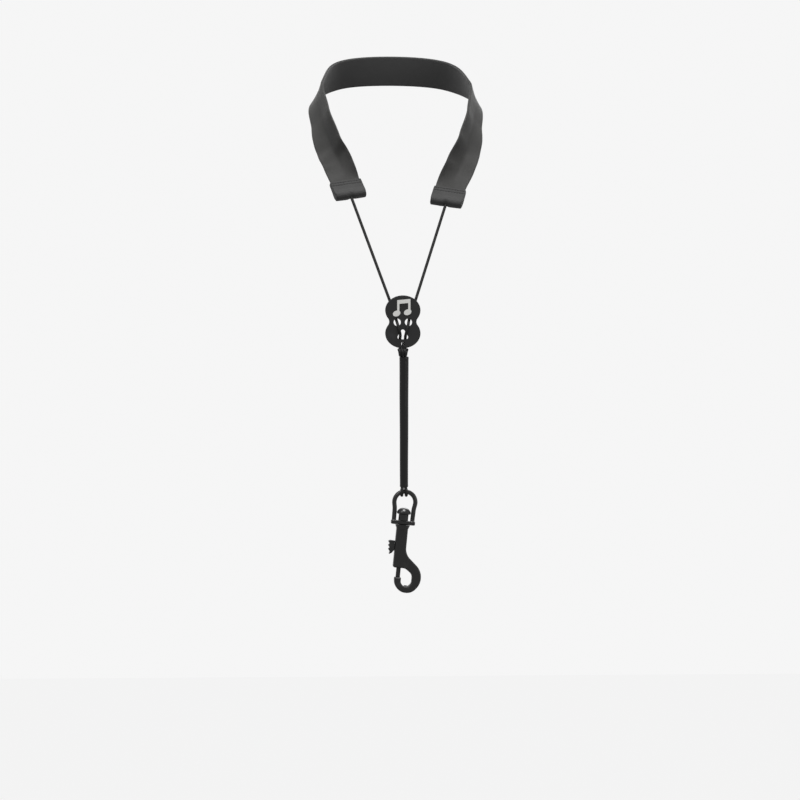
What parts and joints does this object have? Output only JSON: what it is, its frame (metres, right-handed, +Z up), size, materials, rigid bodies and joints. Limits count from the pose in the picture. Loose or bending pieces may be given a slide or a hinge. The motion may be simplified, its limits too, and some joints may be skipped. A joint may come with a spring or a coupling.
{
  "type": "saxophone neck strap",
  "caption": "Neck strap with a woven band, two cords, a figure-eight slide adjuster, a sleeved drop and a swivel snap hook with a spring gate.",
  "frame": {"origin": "middle of the band's inner face at the nape of the neck", "axes": "+X towards the viewer's right, +Y backwards out of the nape, +Z up; the strap hangs down at -Y"},
  "size_m": [0.1502, 0.1699, 0.4744],
  "materials": {
    "band_webbing": "tight plain-woven black nylon webbing",
    "band_lining": "smooth black woven lining against the neck",
    "tab_webbing": "black webbing folded and sewn",
    "stitch_thread": "black twisted sewing thread",
    "cord": "round braided black cord",
    "adjuster_plastic": "satin black moulded plastic",
    "emblem_metal": "satin silver metal",
    "sleeve_plastic": "glossy black tube",
    "eye_metal": "semi-gloss black enamel on cast metal",
    "hook_metal": "satin black enamel on cast metal",
    "gate_metal": "satin black enamel on cast metal",
    "spring_steel": "plain drawn wire"
  },
  "bodies": {
    "neck_band": {"band_webbing": "band_webbing", "band_lining": "band_lining", "left_end_tab": "tab_webbing", "right_end_tab": "tab_webbing", "left_tab_stitches": "stitch_thread", "right_tab_stitches": "stitch_thread", "left_stopper_knot": "cord", "right_stopper_knot": "cord", "left_neck_cord": "cord", "right_neck_cord": "cord"},
    "adjuster": {"adjuster_plate": "adjuster_plastic", "emblem": "emblem_metal", "left_adjuster_cord": "cord", "right_adjuster_cord": "cord", "left_front_strand": "cord", "right_front_strand": "cord", "end_knot": "cord", "tie_loop": "cord"},
    "lower_run": {"cord_sleeve": "sleeve_plastic", "left_loop_cord": "cord", "right_loop_cord": "cord"},
    "eye": {"swivel_eye": "eye_metal"},
    "hook": {"hook_body": "hook_metal", "swivel_pin": "eye_metal", "gate_spring": "spring_steel"},
    "gate": {"gate_bolt": "gate_metal", "thumb_tab": "gate_metal"}
  },
  "joints": [
    {"name": "adjuster_slide", "type": "slide", "parent": "neck_band", "child": "adjuster", "axis": [0, 0, 1], "range_m": [0, 0.045], "deforming": ["left_neck_cord", "right_neck_cord"]},
    {"name": "lower_drop", "type": "slide", "parent": "adjuster", "child": "lower_run", "axis": [0, 0, -1], "range_m": [0, 0.0185], "deforming": ["left_loop_cord", "right_loop_cord"]},
    {"name": "eye_tilt", "type": "hinge", "parent": "lower_run", "child": "eye", "pos_m": [0.0016, -0.158, -0.37488], "axis": [1, 0, 0], "range_deg": [-60, 60]},
    {"name": "hook_swivel", "type": "hinge", "parent": "eye", "child": "hook", "pos_m": [0, -0.158, -0.3915], "axis": [0.0958, 0, 0.9954], "continuous": true},
    {"name": "gate_slide", "type": "slide", "parent": "hook", "child": "gate", "axis": [0.0958, 0, 0.9954], "range_m": [0, 0.0085], "stiffness_N_per_m": 300, "springref_m": -0.01, "deforming": ["gate_spring"]}
  ],
  "couplings": [
    {"joint": "lower_drop", "follows": "adjuster_slide", "ratio": 0.41}
  ]
}
